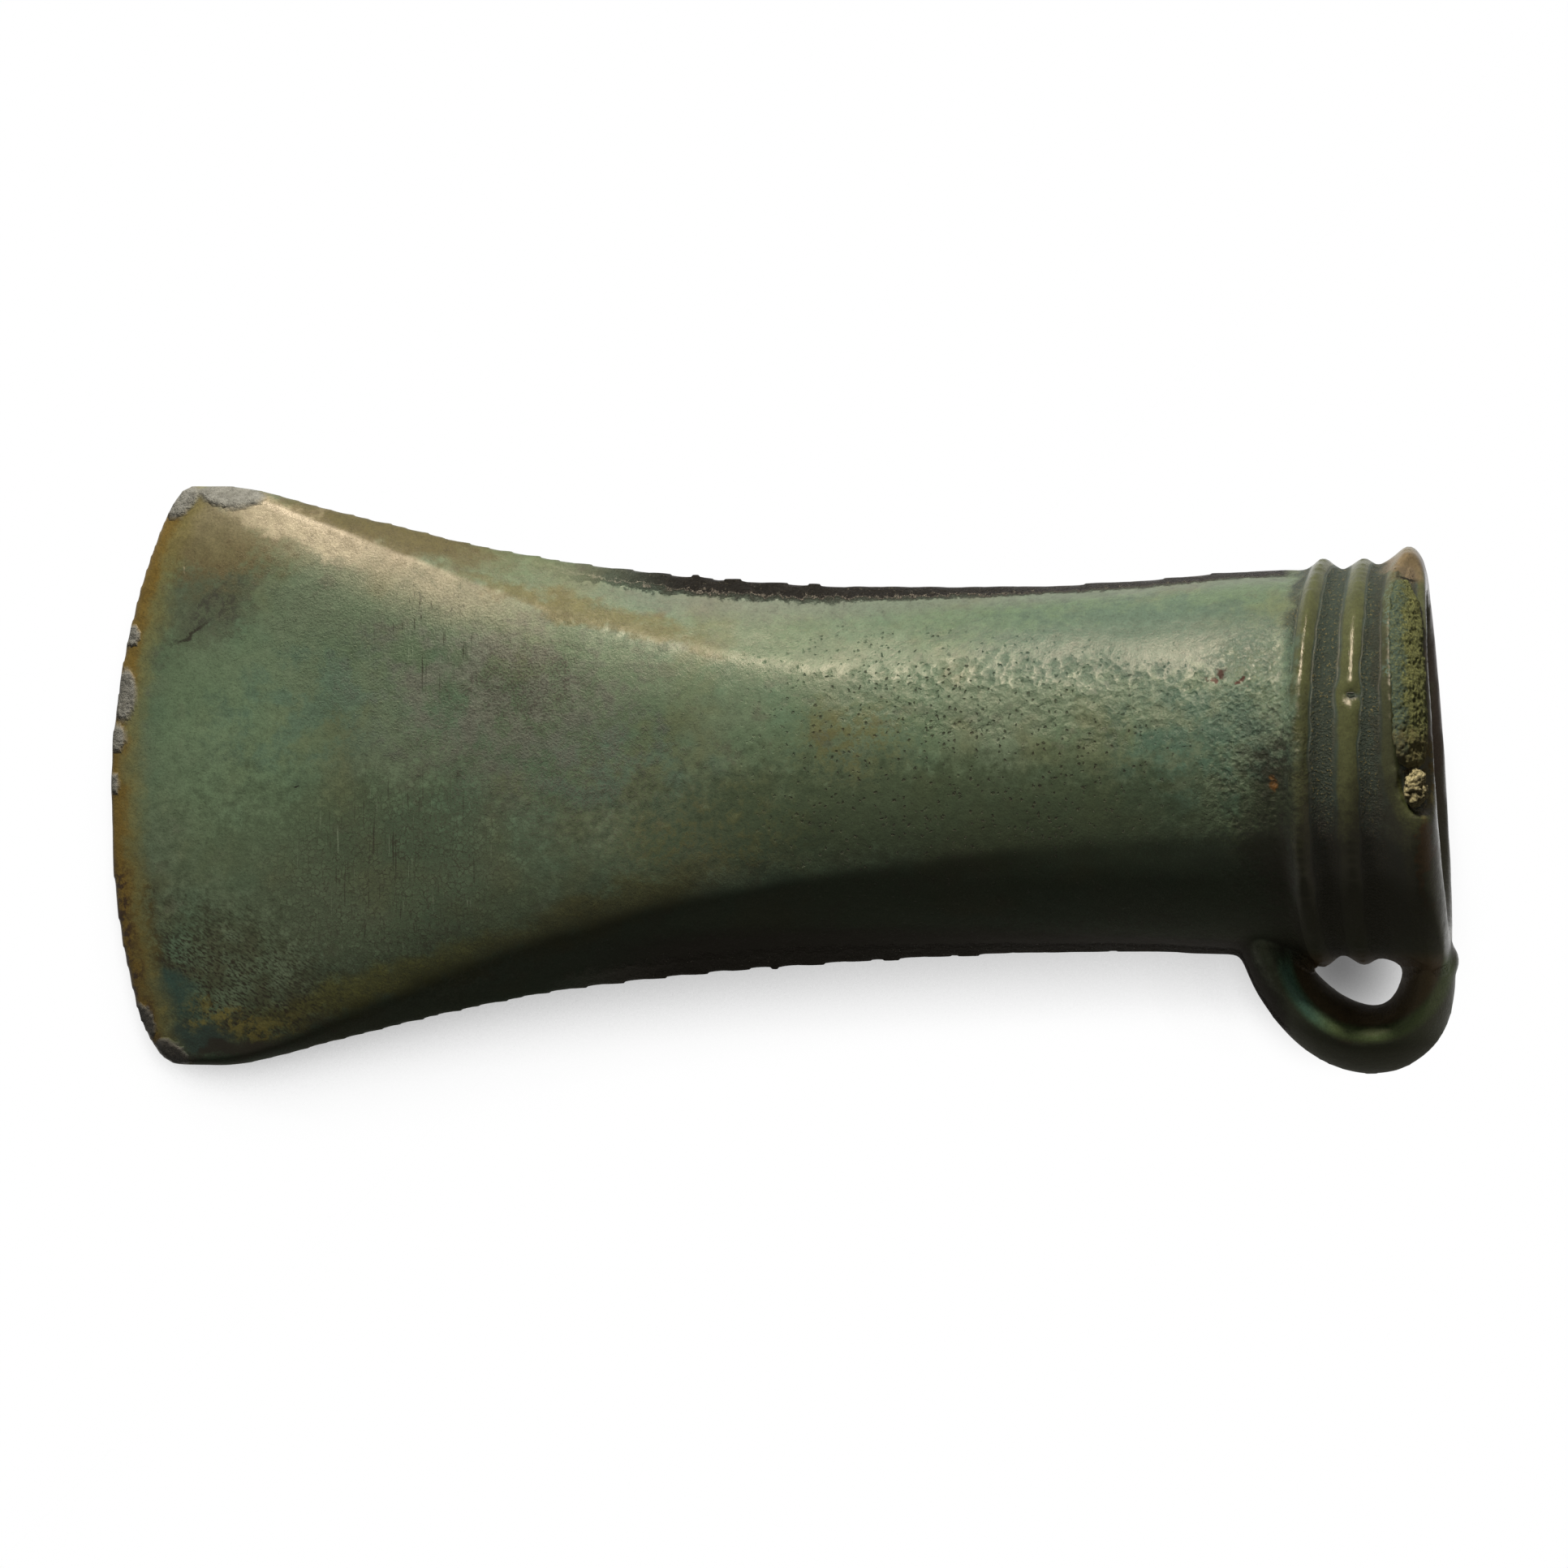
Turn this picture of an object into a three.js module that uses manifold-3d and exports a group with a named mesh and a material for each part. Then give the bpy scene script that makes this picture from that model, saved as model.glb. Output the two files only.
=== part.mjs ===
// A looped, socketed axe head of the Late Bronze Age. The bronze was poured once, into a mould of
// two halves that closed round a clay core, so body, blade, collar and loop are one casting with a
// casting seam down each narrow side. Two bits of mineral matter cling to a spalled stretch of its
// mouth and are pieces of their own.
//
// Millimetres. The casting is drawn along its own X axis, from the cutting edge at 0 to the mouth,
// with Y across the blade, the loop on -Y, and Z through the two broad faces. The group at the end
// lays it on one broad face, as it lies on a table: on the lip of the mouth and the heel of the blade.

import * as THREE from "three";
import { mergeVertices } from "three/addons/utils/BufferGeometryUtils.js";
import Module from "manifold-3d";

const wasm = await Module();
wasm.setup();

const { lerp, smoothstep } = THREE.MathUtils;

// Body and blade, outside.
const axeLength = 114.9; // cutting edge to the mouth, at mid width
const bladeWidth = 50; // across the splayed blade
const waistWidth = 30.9; // the narrowest place of the body
const socketWidth = 32.4; // body at the foot of the collar
const socketDepth = 26; // the same place, face to face
const bladeDepth = 6.3; // face to face at the heel of the cutting bevel
const edgeThickness = 0.7; // the worn cutting edge is blunt
const bevelLength = 12; // the cutting edge back to the heel of its bevel
const edgeSweep = 66; // radius of the cutting edge, seen from the face
const edgeSweepReach = 14; // how far back the body follows that sweep
const edgeSkew = 2.4; // its foremost point lies this far towards the loop's side
const rollReach = 7; // a face is flat, but rolls over towards its ridges over this width
const rollDrop = 1.7; // how far it falls away there
const faceCrown = 0.6; // the upper face is fuller in the middle than at the horns
const faceHollow = 0.6; // the lower face is hollow there, so the blade lies on two lines near its ridges
const hornRadius = 4; // the two rounded horns of the blade
const socketLean = 1.25; // sideways drift of the mouth away from the loop
const leanStart = 50; // where that drift begins

// Collar: two ribs and the swollen lip of the mouth. Heights are above the body's own outline, and
// places are measured back from the mouth.
const collarLength = 13;
const firstRibBack = 9.9; // the rib nearer the blade
const firstRibHeight = 1.4;
const firstRibFoot = 1.5; // crest of that rib to its foot on the body
const firstGrooveBack = 8.3;
const firstGrooveHeight = 0.3;
const secondRibBack = 6.4;
const secondRibHeight = 1.35;
const secondGrooveBack = 5;
const secondGrooveHeight = 0.65;
const lipBack = 1.7;
const lipHeight = 2.35;
const rimDrop = 0.1; // the rim's flat end starts this far below the body's outline
const leanReach = 20; // mouth back to where the collar begins to lean
const firstRibLean = 0.9; // the first rib leans this far to the blade on the upper face, away on the lower
const mouthLean = 0.6; // the rim leans this far the other way
const mouthSlant = 1.1; // the loop's side reaches this much further at the mouth, the other this much less

// Socket, left by the clay core.
const socketReach = 82; // mouth to the bottom of the socket
const mouthWidth = 27.2;
const mouthDepth = 20.6;
const socketEndWidth = 20.5; // what the core tapers to
const socketEndDepth = 4.2;
const socketEndRound = 5; // length of the rounded bottom
const mouthBevel = 0.8; // the mouth is eased open by this much all round
const mouthBevelReach = 1.4;

// Loop on the narrow side.
const loopFrontFoot = 15.3; // mouth back to the middle of the front foot
const loopRearFoot = 1.2; // mouth back to the middle of the rear foot
const loopFrontPull = 11.2; // mouth back to where the strap aims from its front foot
const loopRearPull = -1.4; // the same from its rear foot, which aims beyond the mouth
const loopOut = 7.6; // collar's side to the middle of the strap at its furthest
const loopStrap = 6; // strap's thickness at its furthest, in the plane of the loop
const loopFrontStrap = 4.6; // the same at the front foot, where it spreads on to the body
const loopRearStrap = 4; // the same at the rear foot
const loopFrontBreadth = 8.4; // strap's size through the faces at the front foot
const loopRearBreadth = 6.4; // the same at the rear foot
const loopRootBite = 1.6; // how deep the feet run into the wall
const sprueLumpRadius = 1.8; // stump of metal where the loop meets the rim
const sprueLumpOut = 0.9; // how far that stump lies out from the rim's side

// Casting seam, left where the two halves of the mould met.
const seamHeight = 0.45;
const seamStart = 38;
const seamRise = 13; // length over which it grows to its full height

// Blemishes of the mouth.
const spallRadius = 3.7; // the lost outer corner of the lip, as a cove along the rim
const spallOverhang = 0.3; // how far beyond the mouth the cove's middle lies
const spallStandoff = 0.6; // how far out from the lip's crest it lies
const crustThickness = 1.3;
const crustBreadth = 3.8;
const crumbLength = 2.7;
const crumbBreadth = 1.4;
const crumbThickness = 1;
const crumbLift = 0.4; // the cove grows shallow under the crumb's lower end
const seatGap = 0.3; // between the casting and what clings to it
const ribFlawRadius = 0.7; // gas hole on the crest of the second rib

// How the outlines run, as shares of the sizes that they follow.
const flareShares = { start: 0.1, first: 0.275, second: 0.385, end: 0.74 }; // of the axe's length
const ridgeShares = { start: 0.1, first: 0.27, second: 0.39, end: 0.88 }; // of the axe's length
const ridgeHornShare = 0.985; // half width of the flat face at the horns, of the body's half width
const ridgeFlareShare = 0.28; // how much of the flare the ridge's first stretch aims at
const ridgeWaistShare = 0.42; // half width of the flat face that the ridge sweeps in to
const ridgeEndShare = 0.38; // half width of the flat face at the collar
const rollLimitShare = 0.42; // most that a face falls away at its ridges, of the half depth
const facetShares = { full: 0.42, soft: 0.8, left: 0.18 }; // where the ridges fade, and what is left
const strapCrestShare = 1.35; // above 1, the strap's section has a crest on each broad side
const bluntShare = 6; // above 2, what runs along the rim keeps its size nearly to its ends

// Where the blemishes lie, as shares of a turn round the body: 0 on the narrow side away from the loop,
// 1/4 on the middle of the upper face, 1/2 on the loop's side.
const spallTurnShares = { from: 0.02, to: 0.335 };
const crustTurnShares = { from: 0.05, to: 0.262 };
const crumbTurnShare = 0.284;
const ribFlawTurnShare = 0.15;

// How finely curved things are divided.
const aroundQuarter = 16; // points in a quarter of the body's section
const ridgeColumn = 7; // the point of a quarter that runs along the ridge of a face
const seamCrowdingShare = 1.4; // above 1, the points of a quarter crowd towards the seam
const ridgeCrowdingShare = 1.5; // above 1, the points of a face crowd towards its ridge
const edgeCrowdingShare = 1.6; // above 1, the rings of the bevel crowd towards the cutting edge
const aroundStrap = 18;
const rows = { bevel: 8, body: 21, collar: 24, lip: 5, socket: 10, bottom: 5, strap: 24, rim: 22 };

const collarStart = axeLength - collarLength;

function point(x, y, z = 0) {
  return new THREE.Vector3(x, y, z);
}

// Height at x of a flat curve that runs steadily along x.
function heightAt(curve, x) {
  let low = 0;
  let high = 1;
  for (let halvings = 0; halvings < 24; halvings++) {
    const middle = (low + high) / 2;
    if (curve.getPoint(middle).x < x) low = middle;
    else high = middle;
  }
  return curve.getPoint(low).y;
}

// A ring of points round a middle, turning from one arm to the other. A crest above 1 draws it in
// from an oval to a rhombus.
function ring(middle, firstArm, secondArm, crest = 1) {
  const drawnIn = (v) => Math.sign(v) * Math.abs(v) ** crest;
  return Array.from({ length: aroundStrap }, (_, i) => {
    const angle = (i / aroundStrap) * 2 * Math.PI;
    const first = firstArm.clone().multiplyScalar(drawnIn(Math.cos(angle)));
    const second = secondArm.clone().multiplyScalar(drawnIn(Math.sin(angle)));
    return first.add(second).add(middle);
  });
}

// A closed skin over rings that all turn the same way, with a flat or folded end on the first and last.
function loft(rings) {
  const around = rings[0].length;
  const index = [];
  for (let i = 0; i + 1 < rings.length; i++) {
    for (let j = 0; j < around; j++) {
      const a = i * around + j;
      const b = i * around + ((j + 1) % around);
      index.push(a, b, b + around, a, b + around, a + around);
    }
  }
  const last = (rings.length - 1) * around;
  for (let j = 0; j < around / 2; j++) {
    const [a, b, c, d] = [j, j + 1, around - 1 - j, (around - j) % around];
    if (b < c) index.push(a, c, b, last + a, last + b, last + c);
    if (j > 0) index.push(a, d, c, last + a, last + c, last + d);
  }
  const geometry = new THREE.BufferGeometry().setFromPoints(rings.flat());
  geometry.setIndex(index);
  return geometry;
}

function solidOf(geometry) {
  const bare = geometry.clone();
  bare.deleteAttribute("normal");
  bare.deleteAttribute("uv");
  const merged = mergeVertices(bare);
  return new wasm.Manifold(
    new wasm.Mesh({
      numProp: 3,
      vertProperties: merged.attributes.position.array,
      triVerts: new Uint32Array(merged.index.array),
    }),
  );
}

function geometryOf(solid) {
  const mesh = solid.getMesh();
  const geometry = new THREE.BufferGeometry();
  geometry.setAttribute("position", new THREE.BufferAttribute(mesh.vertProperties, 3));
  geometry.setIndex(new THREE.BufferAttribute(mesh.triVerts, 1));
  const faceted = geometry.toNonIndexed();
  faceted.computeVertexNormals();
  return faceted;
}

// Outlines of the body, by the distance s from the cutting edge.

const flare = new THREE.CubicBezierCurve(
  new THREE.Vector2(flareShares.start * axeLength, bladeWidth / 2),
  new THREE.Vector2(flareShares.first * axeLength, (waistWidth + bladeWidth) / 4),
  new THREE.Vector2(flareShares.second * axeLength, waistWidth / 2),
  new THREE.Vector2(flareShares.end * axeLength, waistWidth / 2),
);

const ridge = new THREE.CubicBezierCurve(
  new THREE.Vector2(ridgeShares.start * axeLength, (ridgeHornShare * bladeWidth) / 2),
  new THREE.Vector2(ridgeShares.first * axeLength, lerp(waistWidth, bladeWidth, ridgeFlareShare) / 2),
  new THREE.Vector2(ridgeShares.second * axeLength, (ridgeWaistShare * socketWidth) / 2),
  new THREE.Vector2(ridgeShares.end * axeLength, (ridgeEndShare * socketWidth) / 2),
);

const mouldings = new THREE.SplineCurve([
  new THREE.Vector2(-collarLength, 0),
  new THREE.Vector2(-firstRibBack - firstRibFoot, firstGrooveHeight / 2),
  new THREE.Vector2(-firstRibBack, firstRibHeight),
  new THREE.Vector2(-firstGrooveBack, firstGrooveHeight),
  new THREE.Vector2(-secondRibBack, secondRibHeight),
  new THREE.Vector2(-secondGrooveBack, secondGrooveHeight),
  new THREE.Vector2(-lipBack, lipHeight),
]);

const leans = new THREE.SplineCurve([
  new THREE.Vector2(-leanReach, 0),
  new THREE.Vector2(-firstRibBack, -firstRibLean),
  new THREE.Vector2(-secondRibBack, 0),
  new THREE.Vector2(0, mouthLean),
]);

function halfWidth(s) {
  const start = flareShares.start * axeLength;
  const outline = s < start ? bladeWidth / 2 : heightAt(flare, s);
  const widening = smoothstep(s, flareShares.end * axeLength, collarStart);
  const short = Math.max(0, hornRadius - s);
  const hornCut = hornRadius - Math.sqrt(hornRadius ** 2 - short ** 2);
  return outline - hornCut + (widening * (socketWidth - waistWidth)) / 2;
}

function halfDepth(s) {
  const slope = (socketDepth - bladeDepth) / 2 / (collarStart - bevelLength);
  const wedge = bladeDepth / 2 + slope * (Math.min(s, collarStart) - bevelLength);
  const toe = bladeDepth / 2 - slope * bevelLength;
  const bevel = Math.max(0, 1 - s / bevelLength) ** 2;
  return wedge - (toe - edgeThickness / 2) * bevel;
}

function halfFace(s) {
  const widest = ridgeHornShare * halfWidth(s);
  return s < ridgeShares.start * axeLength ? widest : Math.min(heightAt(ridge, s), widest);
}

// How far the collar stands out from the body.
function swell(s) {
  const back = s - axeLength;
  if (back <= -collarLength) return 0;
  if (back <= -lipBack) return heightAt(mouldings, back);
  const round = (back + lipBack) / lipBack;
  return (lipHeight + rimDrop) * Math.sqrt(Math.max(0, 1 - round ** 2)) - rimDrop;
}

function drift(s) {
  return socketLean * smoothstep(s, leanStart, axeLength);
}

// The seam stands proud from the flare to the collar.
function seamAt(s) {
  const rise = smoothstep(s, seamStart, seamStart + seamRise);
  const fall = smoothstep(s, collarStart, axeLength - firstRibBack);
  return seamHeight * rise * (1 - fall);
}

// How far the collar is skewed along the axe at a point y, z off its axis: its rings lean towards the
// upper face, and the rim slants towards the loop.
function collarShift(s, y, z) {
  const back = s - axeLength;
  const slant = mouthSlant * smoothstep(back, -secondRibBack, 0);
  return heightAt(leans, back) * (z / (socketDepth / 2)) - slant * (y / (socketWidth / 2));
}

// One point of the body's outside: s along the axe, and a turn round its section. A section is a
// hexagon near the blade, whose ridges soften to an oval towards the socket.
function bodyPoint(s, turn) {
  const quarter = aroundQuarter;
  const column = (((turn % 1) + 1) % 1) * 4 * quarter;
  const mirrorY = column > quarter && column < 3 * quarter ? -1 : 1;
  const mirrorZ = column > 2 * quarter ? -1 : 1;
  const half = column > 2 * quarter ? 4 * quarter - column : column;
  const step = half > quarter ? 2 * quarter - half : half;
  const w = halfWidth(s) + swell(s);
  const d = halfDepth(s) + swell(s);
  const f = halfFace(s) + swell(s) * ridgeEndShare;
  const drop = Math.min(rollDrop, rollLimitShare * d);
  const onSide = step <= ridgeColumn;
  const share = onSide
    ? (step / ridgeColumn) ** seamCrowdingShare
    : ((step - ridgeColumn) / (quarter - ridgeColumn)) ** ridgeCrowdingShare;
  const ridgeAngle = Math.acos(Math.min(1, f / w));
  const angle = onSide ? ridgeAngle * share : lerp(ridgeAngle, Math.PI / 2, share);
  const roll = Math.max(0, 1 - (f * share) / rollReach);
  const hexY = onSide ? lerp(w, f, share) : f * (1 - share);
  const bend = (mirrorZ > 0 ? faceCrown : -faceHollow) * Math.min(1, (2 * d) / bladeDepth);
  const bow = bend * ((2 * Math.min(f, hexY)) / bladeWidth) ** 2;
  const hexZ = onSide ? (d - drop - bow) * share : d - drop * roll ** 2 - bow;
  const soft = smoothstep(s, facetShares.full * axeLength, facetShares.soft * axeLength);
  const facet = lerp(1, facetShares.left, soft);
  const y = mirrorY * lerp(w * Math.cos(angle), hexY, facet);
  const z = mirrorZ * lerp(d * Math.sin(angle), hexZ, facet);
  const seam = step === 0 ? mirrorY * seamAt(s) : 0;
  const sweep = edgeSweep - Math.sqrt(edgeSweep ** 2 - (y + edgeSkew) ** 2);
  const swept = sweep * Math.max(0, 1 - s / edgeSweepReach) ** 2;
  return point(s + swept + collarShift(s, y, z), y + seam + drift(s), z);
}

// Distances from the cutting edge at which the body's rings stand, close at the edge and the collar.
function stations() {
  const spread = (from, to, count, crowding = 1) =>
    Array.from({ length: count }, (_, i) => lerp(from, to, (i / count) ** crowding));
  const lip = Array.from({ length: rows.lip + 1 }, (_, i) => {
    const angle = ((i / rows.lip) * Math.PI) / 2;
    return axeLength - lipBack * (1 - Math.sin(angle));
  });
  return [
    ...spread(0, bevelLength, rows.bevel, edgeCrowdingShare),
    ...spread(bevelLength, collarStart, rows.body),
    ...spread(collarStart, axeLength - lipBack, rows.collar),
    ...lip,
  ];
}

// One point of the socket's wall, s along the axe. Round its bottom it shrinks, and at the mouth it
// is eased open, where its last ring lies in the plane of the rim.
function socketPoint(s, turn) {
  const along = 1 - (axeLength - s) / socketReach;
  const intoRound = Math.min(1, (along * socketReach) / socketEndRound);
  const size = Math.sqrt(1 - (1 - intoRound) ** 2);
  const eased = mouthBevel * Math.max(0, 1 - (axeLength - s) / mouthBevelReach);
  const w = (size * lerp(socketEndWidth, mouthWidth, along)) / 2 + eased;
  const d = (size * lerp(socketEndDepth, mouthDepth, along)) / 2 + eased;
  const y = w * Math.cos(2 * Math.PI * turn);
  const z = d * Math.sin(2 * Math.PI * turn);
  return point(s + collarShift(s, y, z), y + drift(s), z);
}

// The clay core left a tapering oval hole with a rounded bottom.
function socketStations() {
  const bottom = axeLength - socketReach;
  const round = Array.from({ length: rows.bottom }, (_, i) => {
    const angle = (((i + 1) / rows.bottom) * Math.PI) / 2;
    return bottom + socketEndRound * (1 - Math.cos(angle));
  });
  const wall = Array.from({ length: rows.socket }, (_, i) =>
    lerp(bottom + socketEndRound, axeLength - mouthBevelReach, (i + 1) / rows.socket),
  );
  return [...round, ...wall, axeLength];
}

// The body with its socket, as one skin: up the outside, over the rim and down the inside.
function bodySolid() {
  const around = 4 * aroundQuarter;
  const ringOf = (pointAt, s) =>
    Array.from({ length: around }, (_, column) => pointAt(s, column / around));
  const outside = stations().map((s) => ringOf(bodyPoint, s));
  const inside = socketStations().map((s) => ringOf(socketPoint, s));
  return solidOf(loft([...outside, ...inside.reverse()]));
}

// The strap of the loop, an arch from the body to the rim, with a crest along each broad side.
function loopSolid() {
  const side = drift(axeLength) - socketWidth / 2;
  const foot = side + loopRootBite;
  const reach = (loopOut + loopRootBite) / (3 / 4); // such an arch rises to 3/4 of what it aims at
  const arch = new THREE.CubicBezierCurve(
    new THREE.Vector2(axeLength - loopFrontFoot, foot),
    new THREE.Vector2(axeLength - loopFrontPull, foot - reach),
    new THREE.Vector2(axeLength - loopRearPull, foot - reach),
    new THREE.Vector2(axeLength - loopRearFoot, foot),
  );
  const rings = Array.from({ length: rows.strap + 1 }, (_, i) => {
    const t = i / rows.strap;
    const at = arch.getPoint(t);
    const along = arch.getTangent(t);
    const swelling = (loopStrap - (loopFrontStrap + loopRearStrap) / 2) * Math.sin(Math.PI * t);
    const thickness = lerp(loopFrontStrap, loopRearStrap, t) + swelling;
    const breadth = lerp(loopFrontBreadth, loopRearBreadth, t);
    const across = point(-along.y, along.x).multiplyScalar(thickness / 2);
    return ring(point(at.x, at.y), across, point(0, 0, breadth / 2), strapCrestShare);
  });
  return solidOf(loft(rings));
}

function sprueLumpSolid() {
  const lump = new THREE.IcosahedronGeometry(sprueLumpRadius, 2);
  const side = drift(axeLength) - socketWidth / 2;
  lump.translate(axeLength, side - sprueLumpOut, 0);
  return solidOf(lump);
}

// The middle of the spall's cove, out from the lip's crest and just beyond the mouth.
function spallMiddle(turn) {
  const crest = bodyPoint(axeLength - lipBack, turn);
  crest.addScaledVector(inward(turn), -spallStandoff);
  return crest.add(point(lipBack + spallOverhang, 0));
}

// Unit direction from the rim towards the socket's axis.
function inward(turn) {
  const rim = bodyPoint(axeLength, turn);
  return point(0, drift(axeLength) - rim.y, -rim.z).normalize();
}

// Something that runs along the rim between two turns and tapers to both ends. Its middle lies off
// the cove's middle by a distance towards the corner between the socket and the blade.
function alongRim(turns, offset, radiusAcross, radiusDeep) {
  const toBlade = point(-1, 0);
  const rings = Array.from({ length: rows.rim + 1 }, (_, i) => {
    const t = i / rows.rim;
    const turn = lerp(turns.from, turns.to, t);
    const taper = Math.sqrt(Math.max(1 / rows.rim ** 2, 1 - (2 * t - 1) ** bluntShare));
    const deep = inward(turn).add(toBlade).normalize();
    const across = inward(turn).sub(toBlade).normalize();
    const middle = spallMiddle(turn).addScaledVector(deep, offset);
    across.multiplyScalar(radiusAcross * taper);
    deep.multiplyScalar(radiusDeep * taper);
    return ring(middle, deep, across);
  });
  return solidOf(loft(rings));
}

function spallSolid() {
  return alongRim(spallTurnShares, 0, spallRadius, spallRadius);
}

function ribFlawSolid() {
  const flaw = new THREE.IcosahedronGeometry(ribFlawRadius, 2);
  flaw.translate(...bodyPoint(axeLength - secondRibBack, ribFlawTurnShare));
  return solidOf(flaw);
}

function castingSolid() {
  return bodySolid()
    .add(loopSolid())
    .add(sprueLumpSolid())
    .subtract(spallSolid())
    .subtract(ribFlawSolid());
}

// What clings to the spall: the crust along its cove, and the crumb at the cove's lower end.

function crustGeometry() {
  const offset = spallRadius - seatGap - crustThickness / 2;
  return geometryOf(alongRim(crustTurnShares, offset, crustBreadth / 2, crustThickness / 2));
}

function crumbGeometry() {
  const crumb = new THREE.IcosahedronGeometry(1 / 2, 2);
  crumb.scale(crumbBreadth, crumbLength, crumbThickness);
  return crumb;
}

function bronze() {
  return new THREE.MeshStandardMaterial({ color: 0x5c7360, roughness: 0.42, metalness: 0.3 });
}

function crust() {
  return new THREE.MeshStandardMaterial({ color: 0x7c8340, roughness: 0.9, metalness: 0 });
}

function soil() {
  return new THREE.MeshStandardMaterial({ color: 0xc9b98c, roughness: 0.95, metalness: 0 });
}

function mesh(name, geometry, material) {
  const made = new THREE.Mesh(geometry, material);
  made.name = name;
  return made;
}

function axe() {
  const group = new THREE.Group();
  group.add(mesh("axe_casting", geometryOf(castingSolid()), bronze()));
  group.add(mesh("mouth_crust", crustGeometry(), crust()));
  const crumb = mesh("mouth_crumb", crumbGeometry(), soil());
  const offset = spallRadius - seatGap - crumbLift - crumbThickness / 2;
  const deep = inward(crumbTurnShare).add(point(-1, 0)).normalize();
  crumb.position.copy(spallMiddle(crumbTurnShare).addScaledVector(deep, offset));
  crumb.rotation.y = Math.PI / 4;
  group.add(crumb);
  return group;
}

// Laid on its lower face, the axe touches the table with the lip and, at two places, with the heel of
// the bevel.
function lieAngle() {
  const count = 2 * aroundQuarter;
  const turns = Array.from({ length: count + 1 }, (_, i) => (1 + i / count) / 2);
  const below = stations().flatMap((s) => turns.map((turn) => bodyPoint(s, turn)));
  const lip = below.reduce((low, p) => (p.z < low.z ? p : low));
  const ahead = below.filter((p) => p.x < flareShares.first * axeLength);
  return Math.min(...ahead.map((p) => Math.atan2(p.z - lip.z, lip.x - p.x)));
}

const lying = axe();
lying.rotation.y = -lieAngle();
lying.updateMatrixWorld(true);
const box = new THREE.Box3().setFromObject(lying, true);
const middle = box.getCenter(point(0, 0));
lying.position.set(-middle.x, -middle.y, -box.min.z);

const root = new THREE.Group();
root.name = "looped_socketed_axe";
root.add(lying);

export default root;
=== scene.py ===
"""The looks of a looped socketed axe head: green patinated bronze, lying on one broad face on a
white table, seen from straight above. Everything is in metres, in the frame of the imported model."""

import math

import bpy
import numpy as np
from mathutils import Matrix, Vector


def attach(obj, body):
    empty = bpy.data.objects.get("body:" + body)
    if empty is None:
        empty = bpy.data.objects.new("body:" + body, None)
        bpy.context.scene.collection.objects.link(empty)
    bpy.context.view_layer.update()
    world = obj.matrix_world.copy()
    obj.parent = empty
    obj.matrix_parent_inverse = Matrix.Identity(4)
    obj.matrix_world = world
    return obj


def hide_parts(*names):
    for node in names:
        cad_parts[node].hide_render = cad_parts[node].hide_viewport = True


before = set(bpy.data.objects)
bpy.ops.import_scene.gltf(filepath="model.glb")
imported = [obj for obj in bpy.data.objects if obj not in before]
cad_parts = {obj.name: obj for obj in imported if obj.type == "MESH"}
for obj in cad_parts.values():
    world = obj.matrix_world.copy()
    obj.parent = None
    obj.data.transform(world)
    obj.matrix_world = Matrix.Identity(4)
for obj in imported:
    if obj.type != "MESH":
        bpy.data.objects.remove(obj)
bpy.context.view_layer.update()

# THE TABLE. A sheet of white paper under the axe. It is plain white to the camera and in
# reflections, darkened only where the axe shades it, and it throws little light back on the axe.

MM = 0.001
TABLE_SIDE = 3.0
PAPER_TINT = "#383838"  # of the light it throws back, dim, so that the shaded side stays dark
TOWARDS_LAMP = (0.0, 0.75, 0.66)  # the lamp stands low on the +Y side
SHADOW_REACH = 14.5 * MM  # how far the axe's soft shadow runs over the paper
SHADOW_SHARES = (0.05, 0.72)  # of open sky, where the shadow is deepest and where it ends
SHADOW_TONES = ("#8c8c8c", "#ffffff")  # of the paper in these two places
# Painted shade: the paper under the loop is darkened further than its shadow.
LOOP_SHADE_MIDDLE = (48 * MM, -16 * MM, 0)  # the paper is darkest under the loop
LOOP_SHADE_REACH = 10 * MM
LOOP_SHADE_LEFT = 0.25  # of the paper's light there


def linear(colour):
    """The linear red, green, blue and alpha of an sRGB hex colour."""
    channels = [int(colour[i:i + 2], 16) / 255 for i in (1, 3, 5)]
    return [c / 12.92 if c <= 0.04045 else ((c + 0.055) / 1.055) ** 2.4 for c in channels] + [1]


def add(tree, kind, inputs=None, **settings):
    """Adds one shader node, with its settings, and fills or links the inputs that are named."""
    made = tree.nodes.new("ShaderNode" + kind)
    for name, value in settings.items():
        setattr(made, name, value)
    for socket, value in (inputs or {}).items():
        if isinstance(value, bpy.types.NodeSocket):
            tree.links.new(value, made.inputs[socket])
        else:
            made.inputs[socket].default_value = value
    return made


def empty_material(name):
    """A material whose tree holds nothing yet."""
    material = bpy.data.materials.new(name)
    material.use_nodes = True
    material.node_tree.nodes.clear()
    return material, material.node_tree


def looking(tree):
    """1 for a ray that the eye follows, straight or in a reflection, 0 for one that gives light."""
    rays = add(tree, "LightPath").outputs
    seen = rays["Is Camera Ray"]
    for ray in ("Is Glossy Ray", "Is Transmission Ray"):
        seen = add(tree, "Math", {0: seen, 1: rays[ray]}, operation="MAXIMUM").outputs[0]
    return seen


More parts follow.
